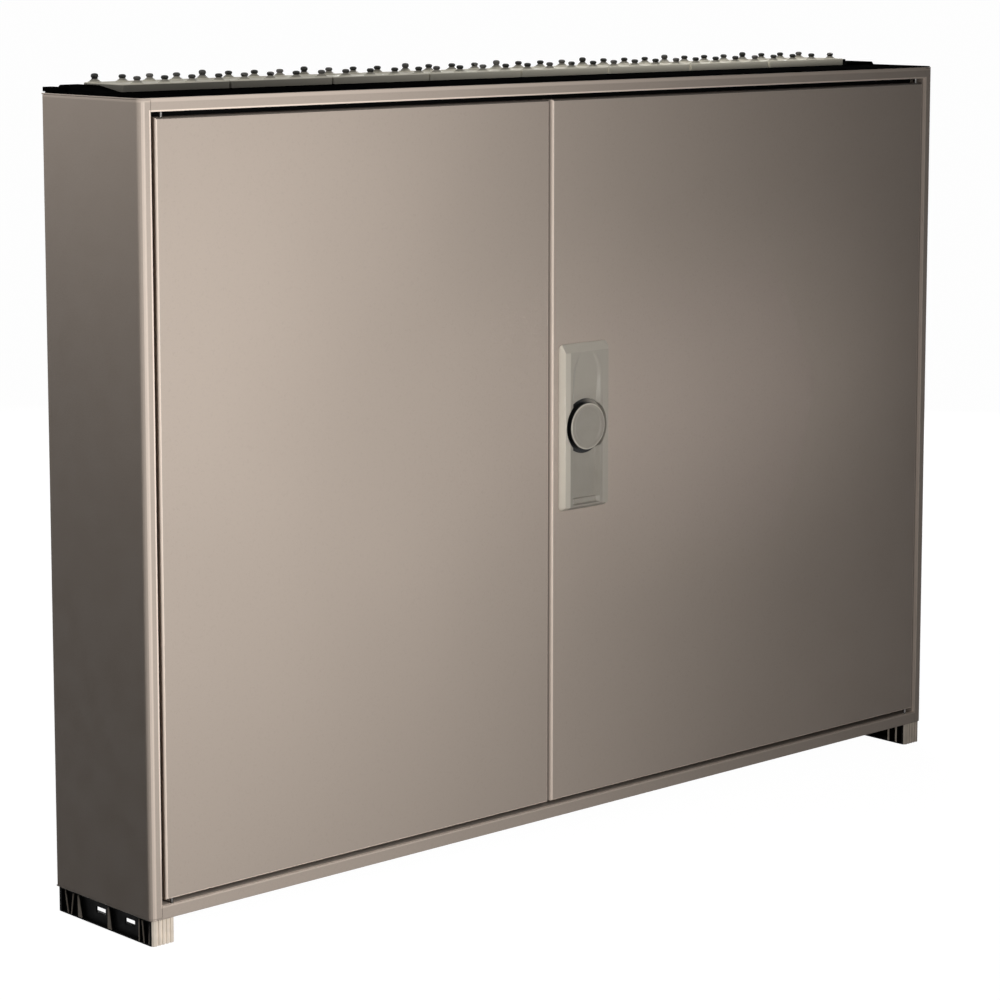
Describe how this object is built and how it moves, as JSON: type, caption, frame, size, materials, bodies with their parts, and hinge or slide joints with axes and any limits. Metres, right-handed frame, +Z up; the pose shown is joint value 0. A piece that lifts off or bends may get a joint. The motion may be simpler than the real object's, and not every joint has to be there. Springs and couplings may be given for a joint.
{
  "type": "distribution board",
  "caption": "Wide shallow sheet-steel distribution board with two inset doors, rotary lock handle, cable entry flanges with stepped nipples on top and ribbed moulded feet.",
  "frame": {"origin": "on the floor under the feet, at the middle of the overall box", "axes": "+X along the width to the right seen from the front, +Y from the front to the rear, +Z up"},
  "size_m": [1.3, 0.1906, 0.9441],
  "materials": {
    "cabinet_paint": "fine textured powder coat, warm light grey",
    "door_paint": "fine textured powder coat, warm light grey",
    "seal_rubber": "matt black foam seal",
    "zinc_steel": "zinc plated steel",
    "handle_plastic": "moulded plastic, mid grey",
    "black_plastic": "moulded plastic, black",
    "flange_plastic": "moulded plastic, light grey, with darker nipple heads",
    "foot_plastic": "moulded plastic, pale warm grey"
  },
  "bodies": {
    "cabinet": {"left_side_panel": "cabinet_paint", "right_side_panel": "cabinet_paint", "top_panel": "cabinet_paint", "bottom_panel": "cabinet_paint", "rear_panel": "cabinet_paint", "door_frame": "cabinet_paint", "frame_seal": "seal_rubber", "left_hinge_pin_top": "zinc_steel", "left_hinge_pin_bottom": "zinc_steel", "right_hinge_pin_top": "zinc_steel", "right_hinge_pin_bottom": "zinc_steel", "flange_frame": "black_plastic", "cable_flange_1": "flange_plastic", "cable_flange_2": "flange_plastic", "cable_flange_3": "flange_plastic", "cable_flange_4": "flange_plastic", "cable_flange_5": "flange_plastic", "cable_flange_6": "flange_plastic", "cable_flange_7": "flange_plastic", "cable_flange_8": "flange_plastic", "wall_lug_left": "black_plastic", "wall_lug_right": "black_plastic", "left_foot": "foot_plastic", "right_foot": "foot_plastic", "field_frame_1": "zinc_steel", "field_frame_2": "zinc_steel", "field_frame_3": "zinc_steel", "field_frame_4": "zinc_steel", "field_frame_5": "zinc_steel"},
    "left_leaf": {"left_door_panel": "door_paint", "left_door_stiffener": "door_paint"},
    "right_leaf": {"right_door_panel": "door_paint", "right_door_stiffener": "door_paint", "handle_plate": "handle_plastic", "lock_plate": "zinc_steel"},
    "lock": {"handle_disc": "handle_plastic", "lock_cam": "zinc_steel", "spindle_nut": "zinc_steel"}
  },
  "joints": [
    {"name": "left_door", "type": "hinge", "parent": "cabinet", "child": "left_leaf", "pos_m": [-0.6195, -0.08025, 0.4755], "axis": [0, 0, -1], "range_deg": [0, 120]},
    {"name": "right_door", "type": "hinge", "parent": "cabinet", "child": "right_leaf", "pos_m": [0.6195, -0.08025, 0.4755], "axis": [0, 0, 1], "range_deg": [0, 120]},
    {"name": "handle", "type": "hinge", "parent": "right_leaf", "child": "lock", "pos_m": [0, -0.08475, 0.507], "axis": [0, -1, 0], "range_deg": [0, 90]}
  ]
}
